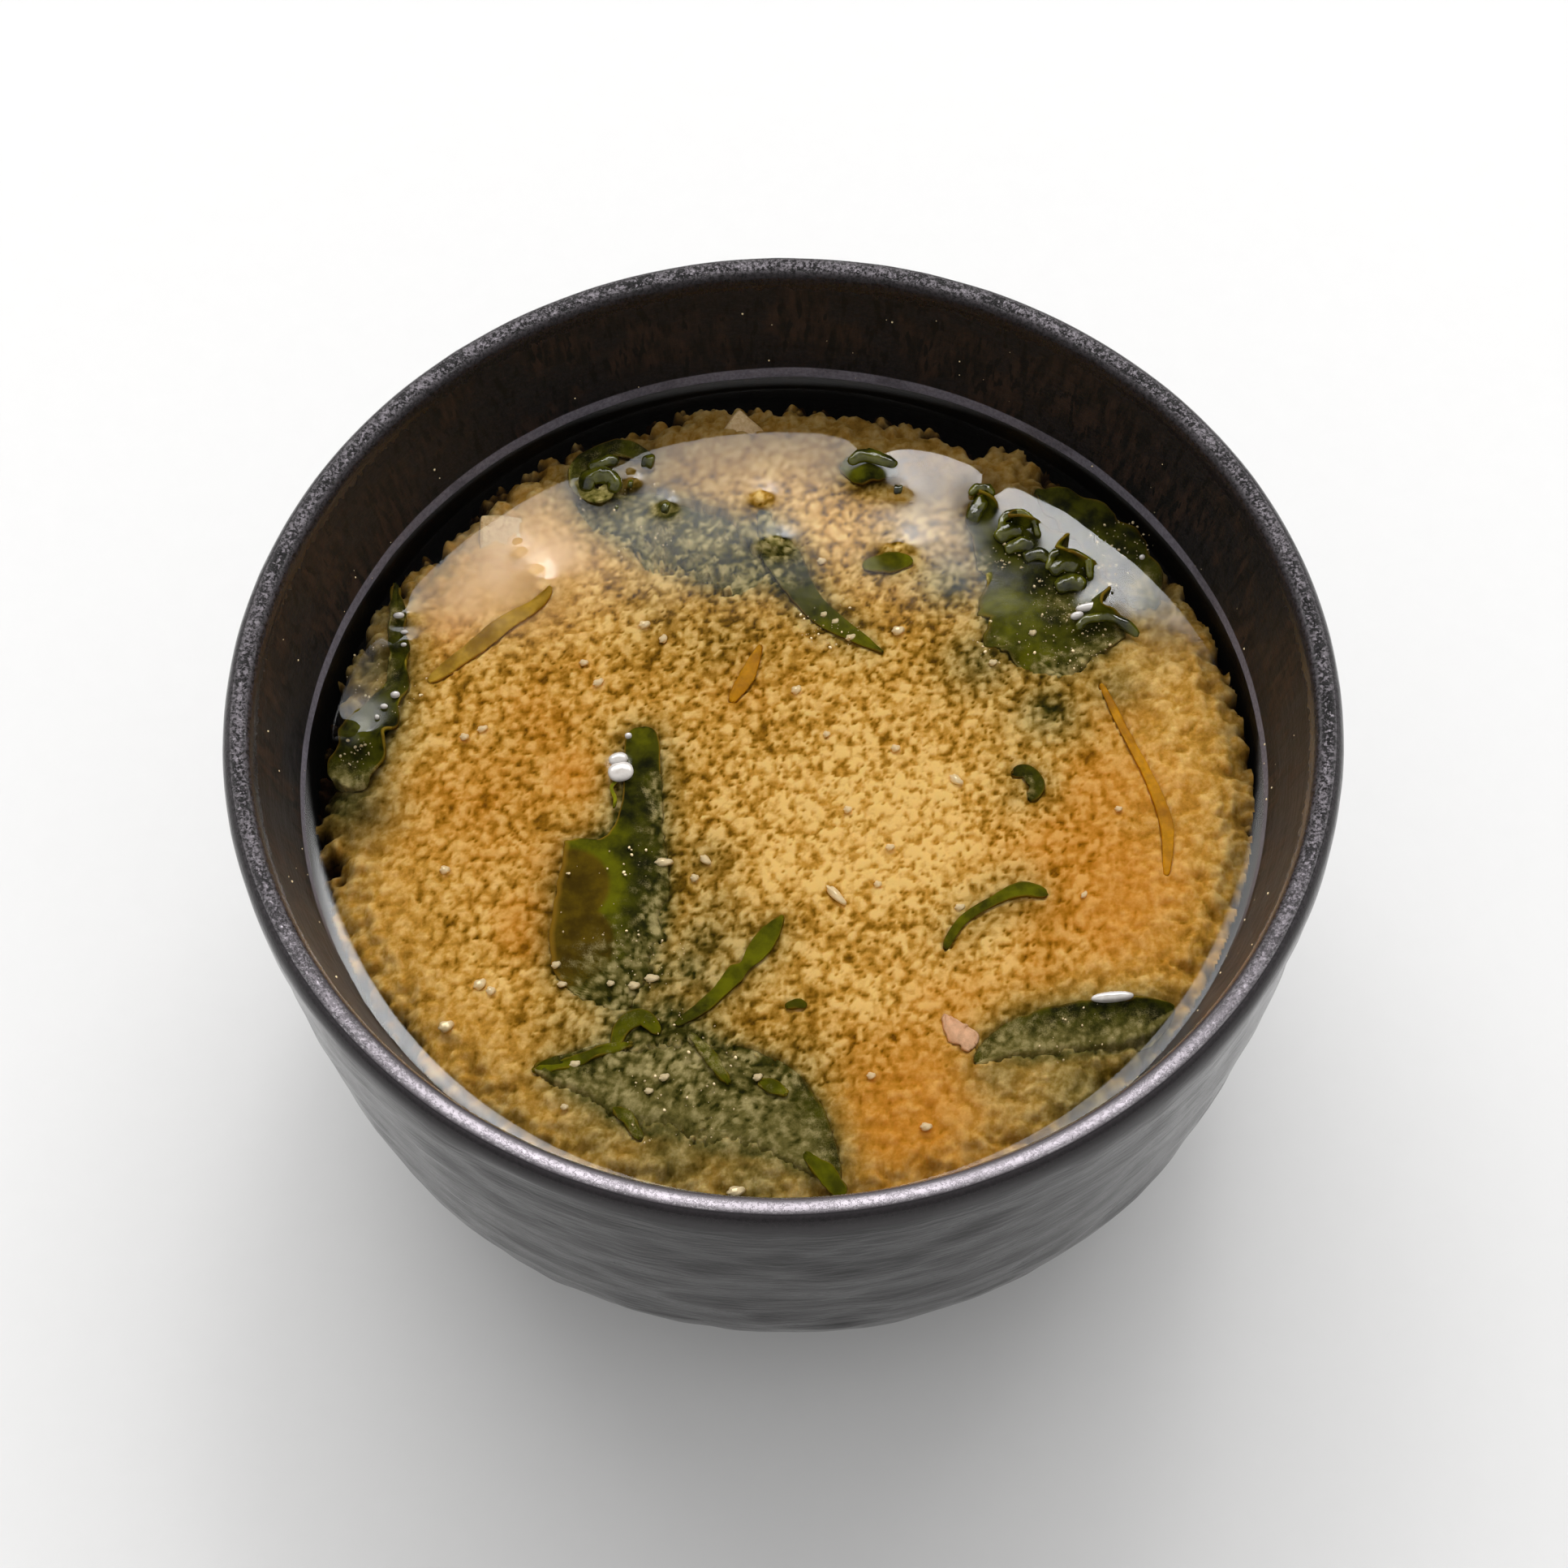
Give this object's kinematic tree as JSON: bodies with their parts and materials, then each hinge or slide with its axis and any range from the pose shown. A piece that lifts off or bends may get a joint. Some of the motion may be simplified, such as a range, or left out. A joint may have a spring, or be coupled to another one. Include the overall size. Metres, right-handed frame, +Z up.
{
  "type": "bowl of miso soup",
  "caption": "Dark glazed stoneware bowl filled with miso soup, with wakame seaweed, tofu and a few strands floating in the broth.",
  "frame": {"origin": "centre of the foot ring, on the surface the bowl stands on", "axes": "+Z up along the bowl's axis; +Y towards the back of the bowl as seen by the eater; +X to the right"},
  "size_m": [0.12, 0.12, 0.07],
  "materials": {
    "dark_glaze": "satin black-brown glaze, pitted on the lip",
    "miso_broth": "clear brown broth over a granular tan miso cloud, wet surface",
    "wakame": "wet dark green seaweed",
    "amber_strand": "wet translucent amber and olive strand",
    "tofu": "wet pale cream tofu"
  },
  "bodies": {
    "root": {"bowl": "dark_glaze", "broth": "miso_broth", "wakame_ruffled_right": "wakame", "wakame_chip_back": "wakame", "wakame_curl_back": "wakame", "wakame_ruffled_left": "wakame", "wakame_blade_centre": "wakame", "wakame_tendril_front": "wakame", "wakame_fold_front": "wakame", "wakame_leaf_right_front": "wakame", "wakame_band_back": "wakame", "wakame_strand_right": "wakame", "wakame_chip_middle": "wakame", "olive_strand_left": "amber_strand", "bonito_flake_centre": "amber_strand", "tofu_block_back": "tofu", "tofu_block_left": "tofu"}
  },
  "joints": []
}
